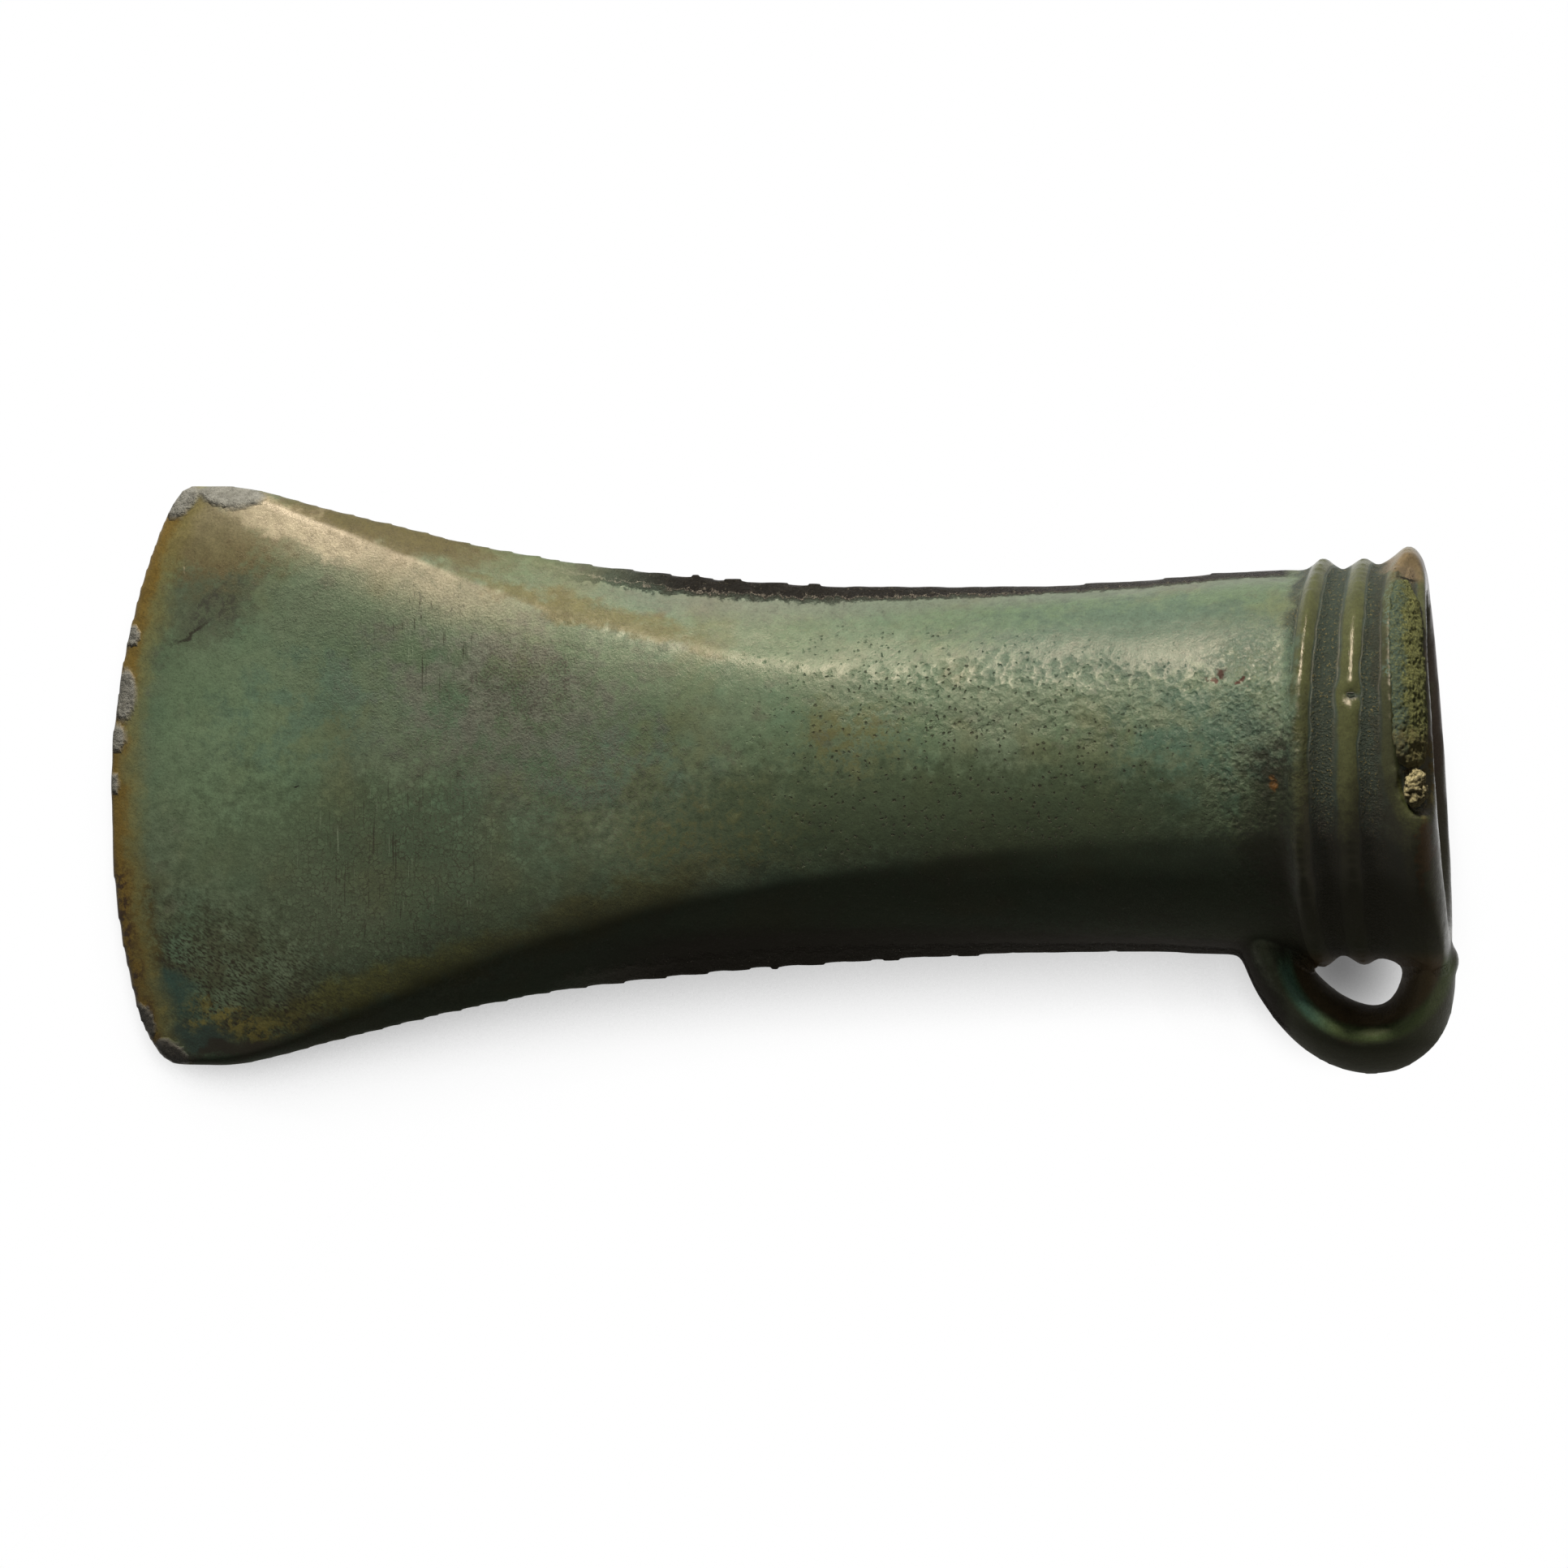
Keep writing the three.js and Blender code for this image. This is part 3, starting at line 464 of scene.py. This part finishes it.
def patinated_bronze():
    """Bronze under a thin, smooth, satin patina of copper minerals. It is green where it is whole,
    brown and gold where it is thin, and dark and rough where it has broken up."""
    material, tree = empty_material("patinated_bronze")
    place = place_in_mm(tree)
    along, across, height = add(tree, "SeparateXYZ", {"Vector": place}).outputs

    # Textures, whose scale counts their grains to the millimetre. Drift, 9 mm wide, shifts the hue,
    # and warp, 3 mm, bends the stains. Blotch, 2.5 mm, and cloud, 1 mm, fray and break them up.
    # Speck, 0.2 mm, and grit, 0.1 mm, are the patina's own grain, drawn as coarse as it needs to
    # show. Scratch runs across the axe as the whetstone did, and streak slants over the corner.
    warp = add(tree, "TexNoise", {"Vector": place, "Scale": 0.35, "Detail": 5.0, "Roughness": 0.6})
    drift = add(
        tree, "TexNoise", {"Vector": place, "Scale": 0.11, "Detail": 4.0, "Roughness": 0.55}
    )
    blotch = add(
        tree, "TexNoise", {"Vector": place, "Scale": 0.4, "Detail": 6.0, "Roughness": 0.65}
    )
    cloud = add(tree, "TexNoise", {"Vector": place, "Scale": 1.1, "Detail": 6.0, "Roughness": 0.7})
    speck = add(tree, "TexNoise", {"Vector": place, "Scale": 4.5, "Detail": 3.0, "Roughness": 0.7})
    grit = add(tree, "TexNoise", {"Vector": place, "Scale": 11.0, "Detail": 1.0, "Roughness": 0.6})
    drawn = add(
        tree, "Mapping", {"Vector": place, "Rotation": (0, 0, 0.05), "Scale": (4.5, 0.16, 4.5)}
    )
    scratch = add(tree, "TexNoise", {"Vector": drawn.outputs[0], "Scale": 1.0, "Detail": 2.0})
    slanted = add(
        tree, "Mapping", {"Vector": place, "Rotation": (0, 0, -0.6), "Scale": (0.42, 0.16, 0.3)},
        vector_type="TEXTURE",
    )
    streak = add(tree, "TexNoise", {"Vector": slanted.outputs[0], "Scale": 1.0, "Detail": 5.0})
    textures = {
        "blotch": (blotch.outputs["Fac"], 0.42, 0.58),
        "cloud": (cloud.outputs["Fac"], 0.45, 0.57),
        "speck": (speck.outputs["Fac"], 0.44, 0.6),
        "streak": (streak.outputs["Fac"], 0.42, 0.64),
    }

    # Craze is the net of the patina's cracks, pit its pin holes, and dent and fine are its dents.
    shift = add(
        tree, "VectorMath", {0: warp.outputs["Color"], 1: (0.5, 0.5, 0.5)}, operation="SUBTRACT"
    )
    wandering = add(
        tree, "VectorMath", {0: shift.outputs[0], 1: (5.0, 5.0, 5.0), 2: place},
        operation="MULTIPLY_ADD",
    ).outputs[0]
    ragged = add(
        tree, "VectorMath", {0: cloud.outputs["Color"], 1: (0.9, 0.9, 0.9), 2: place},
        operation="MULTIPLY_ADD",
    ).outputs[0]
    craze = add(tree, "TexVoronoi", {"Vector": ragged, "Scale": 1.9}, feature="DISTANCE_TO_EDGE")
    pit = add(tree, "TexVoronoi", {"Vector": ragged, "Scale": 2.1})
    dent = add(tree, "TexVoronoi", {"Vector": ragged, "Scale": 0.9})
    fine = add(tree, "TexVoronoi", {"Vector": ragged, "Scale": 1.8})

    def marked(value, low, high, *gates):
        """How strongly a mark shows: not at low, in full at high, and only as its gates let it."""
        shown = add(
            tree, "MapRange", {"Value": value, "From Min": low, "From Max": high},
            interpolation_type="SMOOTHSTEP",
        ).outputs[0]
        for gate in gates:
            shown = add(tree, "Math", {0: shown, 1: gate}, operation="MULTIPLY").outputs[0]
        return shown

    def reach(middle, half, turn, fray, *gates):
        """How much of a mark lies at a place: all near its middle, none beyond its frayed rim."""
        local = add(tree, "Mapping", {
            "Vector": wandering, "Location": (*middle, 0), "Rotation": (0, 0, math.radians(turn)),
            "Scale": (*half, 1000),
        }, vector_type="TEXTURE")
        far = add(tree, "VectorMath", {"Vector": local.outputs[0]}, operation="LENGTH")
        torn = add(
            tree, "Math", {0: cloud.outputs["Fac"], 1: fray, 2: far.outputs["Value"]},
            operation="MULTIPLY_ADD",
        )
        return marked(torn.outputs[0], 1.2 + fray / 2, 0.45 + fray / 2, *gates)

    def lay(tint, roughness, mask):
        """Lays a tint and its roughness over what is there already, as far as the mask lets it."""
        nonlocal colour, rough
        colour = add(
            tree, "Mix", {0: mask, 6: colour, 7: linear(tint)}, data_type="RGBA"
        ).outputs[2]
        rough = add(tree, "Mix", {0: mask, 2: rough, 3: roughness}).outputs[0]

    # The whole patina: three greens that drift into each other.
    first, second, third = add(tree, "SeparateColor", {"Color": drift.outputs["Color"]}).outputs
    colour = add(
        tree, "Mix", {0: marked(first, 0.38, 0.62), 6: linear("#52624a"), 7: linear("#5a6650")},
        data_type="RGBA",
    ).outputs[2]
    rough = add(tree, "Mix", {0: blotch.outputs["Fac"], 2: 0.26, 3: 0.42}).outputs[0]
    lay("#4a604c", 0.34, marked(second, 0.48, 0.62, 0.5))
    lay("#565437", 0.42, marked(third, 0.5, 0.64, 0.45))
    lay("#4a463c", 0.46, marked(blotch.outputs["Fac"], 0.55, 0.66, 0.4))
    lay("#2f2e22", 0.5, marked(speck.outputs["Fac"], 0.56, 0.7, 0.5))

    def lay_marks_and_painted_light(stains):
        """Lays stains, painted shade and painted light one over the other, each broken up by its
        texture.
        """
        for tint, roughness, hold, middle, half, turn, fray, texture in stains.values():
            gates = [hold]
            if texture:
                gates.append(marked(*textures[texture]))
            lay(tint, roughness, reach(middle, half, turn, fray, *gates))

    lay_marks_and_painted_light(MARKS_AND_PAINTED_LIGHT)

    # Where the collar stands out the patina is rubbed thin, and dirt stays in what lies deep.
    relief = add(tree, "Attribute", attribute_name="relief").outputs["Fac"]
    astray = add(tree, "SeparateXYZ", {"Vector": wandering}).outputs[0]
    collar = marked(astray, 42.6, 44.4)
    plain = marked(along, 43, 41)
    lay("#31362b", 0.45, collar)
    lay("#2e3d38", 0.45, marked(blotch.outputs["Fac"], 0.42, 0.58, collar, 0.45))
    lay("#28322a", 0.6, marked(relief, -0.015, -0.07, marked(astray, 43.4, 45.6), 0.85))
    flecks = marked(speck.outputs["Fac"], 0.58, 0.66, collar, marked(relief, 0.0, -0.05), 0.5)
    lay("#7d6b3a", 0.35, flecks)
    lay("#444729", 0.15, marked(relief, 0.0, 0.07, collar, 0.9))
    lay_marks_and_painted_light(COLLAR_MARKS_AND_PAINTED_LIGHT)

    # Painted highlight: faces of the ridge that look to the lamp are painted pale.
    # Painted shade: faces that look to the loop's side are painted dark and matt.
    turned = add(tree, "Attribute", attribute_name="turned").outputs["Fac"]
    painted_ridge_sheen = marked(turned, -0.1, -0.42, marked(turned, -0.64, -0.5), marked(along, -16, -32))
    lay("#8a8069", 0.3, marked(cloud.outputs["Fac"], 0.1, 0.5, painted_ridge_sheen, 0.75))
    # Painted shade on every face turned towards the loop's side.
    lay("#16170f", 0.95, marked(turned, 0.3, 0.62, 0.8))

    # The loop is rubbed olive along its crest, where a painted highlight also lies, brown with dirt
    # inside it, and darkened by painted shade on its outer side.
    flat = add(tree, "VectorMath", {0: place, 1: (1, 1, 0)}, operation="MULTIPLY")
    far = add(tree, "VectorMath", {0: flat.outputs[0], 1: LOOP_MIDDLE}, operation="DISTANCE")
    off_crest = add(
        tree, "Math", {0: far.outputs["Value"], 1: LOOP_CREST}, operation="SUBTRACT"
    ).outputs[0]
    looped = marked(across, -14.4, -16.4, marked(along, 40, 42))
    lay("#57462f", 0.55, marked(off_crest, -0.2, -1.2, looped, 0.7))
    # Painted shade on the loop's outer side.
    lay("#2e2f22", 0.6, marked(off_crest, 0.6, 1.9, looped, 0.4))
    off_crest = add(tree, "Math", {0: off_crest}, operation="ABSOLUTE").outputs[0]
    # Along the crest: olive wear with a painted highlight.
    crest_wear_and_highlight = marked(off_crest, 0.9, 0.2, looped, 0.85)
    lay("#788a58", 0.4, crest_wear_and_highlight)
    lay("#5a8572", 0.4, marked(along, 47.5, 44.5, crest_wear_and_highlight))

    # The edge: an amber film where the metal was ground, dark brown towards the loop's side.
    far = add(tree, "VectorMath", {0: flat.outputs[0], 1: EDGE_MIDDLE}, operation="DISTANCE")
    off_edge = add(tree, "Math", {0: EDGE_SWEEP, 1: far.outputs["Value"]}, operation="SUBTRACT")
    off_edge = add(
        tree, "Math", {0: blotch.outputs["Fac"], 1: 3.0, 2: off_edge.outputs[0]},
        operation="MULTIPLY_ADD",
    ).outputs[0]
    lay("#6b6236", 0.42, marked(off_edge, 5.2, 3.0, 0.65))
    lay("#66501f", 0.4, marked(off_edge, 3.4, 2.2, 0.8))
    browned = marked(off_edge, 3.4, 2.2, marked(across, -5, -9), marked(*textures["cloud"]))
    lay("#2c2013", 0.4, browned)

    # The casting seam: black-brown with pale flecks, and a grey bloom beside it. On the loop's side
    # a broad, dark, matt band is painted shade.
    below_axis = add(
        tree, "Math", {0: along, 1: -AXIS_RISE, 2: -AXIS_BASE / MM}, operation="MULTIPLY_ADD"
    )
    off_seam = add(tree, "Math", {0: height, 1: below_axis.outputs[0]}, operation="ADD")
    off_seam = add(tree, "Math", {0: off_seam.outputs[0]}, operation="ABSOLUTE")
    off_seam = add(
        tree, "Math", {0: cloud.outputs["Fac"], 1: 2.0, 2: off_seam.outputs[0]},
        operation="MULTIPLY_ADD",
    ).outputs[0]
    side = add(tree, "Math", {0: across}, operation="ABSOLUTE").outputs[0]
    side = marked(side, 11.5, 13, marked(along, -22, -8), marked(along, 43.8, 42.6))
    lay("#5d6058", 0.5, marked(off_seam, 5.0, 3.0, side, marked(across, 0, 5), 0.5))
    seamed = marked(off_seam, 2.7, 2.0, side, 0.98)
    lay("#0d0a07", 0.3, seamed)
    # Painted shade along the seam on the loop's side.
    lay("#12120d", 0.9, marked(off_seam, 5.5, 3.5, side, marked(across, 0, -5)))
    lay("#6b6656", 0.5, marked(speck.outputs["Fac"], 0.64, 0.7, marked(off_seam, 2.9, 2.4, side)))

    # Fine marks: cracks, whetstone scratches and pits.
    crazed = reach((-33, -9), (16, 12), 15, 1.6, marked(cloud.outputs["Fac"], 0.42, 0.56))
    lay("#25241b", 0.5, marked(craze.outputs["Distance"], 0.11, 0.03, crazed, 0.7))
    scored = add(
        tree, "Math", {0: reach((-31, 12), (6, 5), 0, 1.2), 1: reach((-33, -8), (9, 10), 0, 1.2)},
        operation="MAXIMUM",
    )
    lay("#26261d", 0.5, marked(scratch.outputs["Fac"], 0.62, 0.7, scored.outputs[0], 0.75))
    lay("#8f9a80", 0.3, marked(scratch.outputs["Fac"], 0.33, 0.26, scored.outputs[0], 0.35))
    picked = add(tree, "SeparateColor", {"Color": pit.outputs["Color"]}).outputs[0]
    pitted = reach((8, 1), (30, 12), 0, 1.6, marked(along, -8, 8), plain)
    pitted = marked(pit.outputs["Distance"], 0.34, 0.12, marked(picked, 0.5, 0.7), pitted)
    lay("#1f1c12", 0.6, marked(pitted, 0, 1, 0.7))
    lay("#1b1a12", 0.5, marked(grit.outputs["Fac"], 0.66, 0.74, 0.7))

    # The chips show grey, grainy metal under the patina, and the socket is dark with burial dirt.
    fresh = add(tree, "Attribute", attribute_name="fresh").outputs["Fac"]
    shaded = marked(across, -16, -18)
    lay("#86857c", 0.5, fresh)
    lay("#5f5e56", 0.55, marked(cloud.outputs["Fac"], 0.42, 0.6, fresh, 0.8))
    # Painted shade: chips on the loop's side are painted darker.
    lay("#2b2a26", 0.5, marked(shaded, 0, 1, fresh, 0.9))
    bore = add(tree, "Attribute", attribute_name="bore").outputs["Fac"]
    lay("#443c2e", 0.75, bore)

    # The grain of the patina makes all of it lighter and darker.
    tone = add(tree, "Math", {0: speck.outputs["Fac"], 1: cloud.outputs["Fac"]}, operation="ADD")
    tone = add(tree, "MapRange", {
        "Value": tone.outputs[0], "From Min": 0.7, "From Max": 1.3, "To Min": 0.66, "To Max": 1.26,
    })
    colour = add(tree, "HueSaturation", {"Value": tone.outputs[0], "Color": colour}).outputs[0]

    # Heights in millimetres: the skin's own grain, the dents of a hammer or of corrosion along the
    # body, the pits, and the broken skin at the collar's foot, in its grooves and on the chips.
    deep = add(tree, "Math", {0: grit.outputs["Fac"], 1: 0.006}, operation="MULTIPLY").outputs[0]
    dents = marked(dent.outputs["Distance"], 0.75, 0.0)
    pocks = marked(fine.outputs["Distance"], 0.7, 0.0)
    dented = reach((24, 6.6), (20, 3.6), -2, 1.0)
    scaly = reach((40, 1), (4.5, 11), 0, 1.4)
    grained = reach((-27, 9.5), (21, 10), -22, 1.6)
    sunken = marked(relief, 0.0, -0.06, collar)
    for texture, depth, gate in (
        (speck.outputs["Fac"], 0.025, 1.0),
        (speck.outputs["Fac"], 0.07, grained),
        (cloud.outputs["Fac"], 0.04, 1.0),
        (dents, -0.1, dented),
        (pocks, -0.04, dented),
        (dents, -0.015, plain),
        (pocks, -0.09, scaly),
        (cloud.outputs["Fac"], 0.25, scaly),
        (speck.outputs["Fac"], 0.25, sunken),
        (cloud.outputs["Fac"], 0.5, fresh),
        (pitted, -0.12, 1.0),
        (cloud.outputs["Fac"], 0.9, seamed),
    ):
        amount = add(tree, "Math", {0: texture, 1: depth}, operation="MULTIPLY").outputs[0]
        deep = add(tree, "Math", {0: amount, 1: gate, 2: deep}, operation="MULTIPLY_ADD").outputs[0]
    bump = add(tree, "Bump", {"Height": deep, "Distance": MM, "Strength": 1.0})
    surface = add(tree, "BsdfPrincipled", {
        "Base Color": colour, "Roughness": rough, "Metallic": 0.0, "Specular IOR Level": 0.2,
        "Specular Tint": linear("#ffe9cf"), "Normal": bump.outputs[0],
    })
    add(tree, "OutputMaterial", {"Surface": surface.outputs[0]})
    return material


casting.data.materials.append(patinated_bronze())
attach(casting, "root")
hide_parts("axe_casting")

# THE CRUST is copper corrosion, grainy and dull, that grew over the spalled stretch of the
# mouth's rim. It is a cake of green minerals, teal where it is freshest and brown where soil is
# bound in it.

CRUST_GRID = 0.13 * MM
CRUST_GROWTH = 0.05  # in millimetres, as all of the rest
CRUST_LUMPS = (1.3, 0.45)  # their size and height
CRUST_GRAINS = (0.25, 0.2)


def crumbled(node, name, grid, growth, lumps, grains):
    """A CAD node's form, grown a little all round, with a broken, grainy skin."""
    piece = node_copy(node, name)
    apply_modifier(piece, "SUBSURF", levels=1, render_levels=1)
    apply_modifier(piece, "REMESH", mode="VOXEL", voxel_size=grid, adaptivity=0.0)
    apply_modifier(piece, "DISPLACE", strength=growth * MM, mid_level=0.0)
    roughen(piece, "CLOUDS", *lumps)
    roughen(piece, "STUCCI", *grains)
    for polygon in piece.data.polygons:
        polygon.use_smooth = True
    return piece


def copper_crust():
    """Malachite-like corrosion: dull yellow-green, granular, with teal and brown grains."""
    material, tree = empty_material("copper_crust")
    place = place_in_mm(tree)
    along, across, _ = add(tree, "SeparateXYZ", {"Vector": place}).outputs
    lump = add(tree, "TexNoise", {"Vector": place, "Scale": 0.9, "Detail": 5.0, "Roughness": 0.65})
    grain = add(tree, "TexNoise", {"Vector": place, "Scale": 5.0, "Detail": 4.0, "Roughness": 0.75})
    ramp = add(tree, "ValToRGB", {"Fac": grain.outputs["Fac"]})
    steps = ramp.color_ramp.elements
    steps[0].position, steps[0].color = 0.32, linear("#33341f")
    steps[1].position, steps[1].color = 0.68, linear("#86844f")
    steps.new(0.5).color = linear("#62643a")
    teal_side = add(
        tree, "Math", {0: lump.outputs["Fac"], 1: -3.0, 2: along}, operation="MULTIPLY_ADD"
    )
    teal = add(
        tree, "MapRange", {"Value": teal_side.outputs[0], "From Min": 51.6, "From Max": 50.9},
        interpolation_type="SMOOTHSTEP",
    )
    broken = add(tree, "MapRange", {
        "Value": grain.outputs["Fac"], "From Min": 0.4, "From Max": 0.6,
        "To Min": 1.0, "To Max": 0.45,
    })
    teal = add(tree, "Math", {0: teal.outputs[0], 1: broken.outputs[0]}, operation="MULTIPLY")
    brown_end = add(
        tree, "Math", {0: lump.outputs["Fac"], 1: 9.0, 2: across}, operation="MULTIPLY_ADD"
    )
    brown = add(tree, "MapRange", {
        "Value": brown_end.outputs[0], "From Min": 9.5, "From Max": 6.5, "To Max": 0.7,
    }, interpolation_type="SMOOTHSTEP")
    colour = add(
        tree, "Mix", {0: teal.outputs[0], 6: ramp.outputs["Color"], 7: linear("#3f4d43")},
        data_type="RGBA",
    )
    colour = add(
        tree, "Mix", {0: brown.outputs[0], 6: colour.outputs[2], 7: linear("#6a5f3c")},
        data_type="RGBA",
    )
    bump = add(
        tree, "Bump", {"Height": grain.outputs["Fac"], "Distance": 0.25 * MM, "Strength": 1.0}
    )
    surface = add(tree, "BsdfPrincipled", {
        "Base Color": colour.outputs[2], "Roughness": 0.9, "Specular IOR Level": 0.2,
        "Normal": bump.outputs[0],
    })
    add(tree, "OutputMaterial", {"Surface": surface.outputs[0]})
    return material


crust = crumbled(
    "mouth_crust", "copper_crust", CRUST_GRID, CRUST_GROWTH, CRUST_LUMPS, CRUST_GRAINS
)
crust.data.materials.append(copper_crust())
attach(crust, "root")
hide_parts("mouth_crust")

# THE CRUMB is a flake of limy soil baked on to the lower end of the crust. It is cream, dry and
# chalky, and breaks in small blocky grains.

CRUMB_GRID = 0.08 * MM
CRUMB_GROWTH = 0.4  # in millimetres, as all of the rest
CRUMB_LUMPS = (0.8, 0.7)  # their size and height
CRUMB_GRAINS = (0.25, 0.25)


def limy_soil():
    """Carbonate-bound loam: pale cream, matt, with dark pores between its grains."""
    material, tree = empty_material("limy_soil")
    place = place_in_mm(tree)
    grain = add(tree, "TexNoise", {"Vector": place, "Scale": 3.5, "Detail": 5.0, "Roughness": 0.7})
    block = add(tree, "TexVoronoi", {"Vector": place, "Scale": 1.6}, feature="DISTANCE_TO_EDGE")
    ramp = add(tree, "ValToRGB", {"Fac": grain.outputs["Fac"]})
    steps = ramp.color_ramp.elements
    steps[0].position, steps[0].color = 0.35, linear("#6f6640")
    steps[1].position, steps[1].color = 0.62, linear("#b3a67c")
    pores = add(tree, "MapRange", {
        "Value": block.outputs["Distance"], "From Min": 0.1, "From Max": 0.0, "To Max": 0.7,
    })
    colour = add(
        tree, "Mix", {0: pores.outputs[0], 6: ramp.outputs["Color"], 7: linear("#3a3420")},
        data_type="RGBA",
    )
    bump = add(
        tree, "Bump", {"Height": grain.outputs["Fac"], "Distance": 0.2 * MM, "Strength": 1.0}
    )
    surface = add(tree, "BsdfPrincipled", {
        "Base Color": colour.outputs[2], "Roughness": 0.95, "Specular IOR Level": 0.2,
        "Normal": bump.outputs[0],
    })
    add(tree, "OutputMaterial", {"Surface": surface.outputs[0]})
    return material


crumb = crumbled(
    "mouth_crumb", "soil_crumb", CRUMB_GRID, CRUMB_GROWTH, CRUMB_LUMPS, CRUMB_GRAINS
)
crumb.data.materials.append(limy_soil())
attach(crumb, "root")
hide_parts("mouth_crumb")
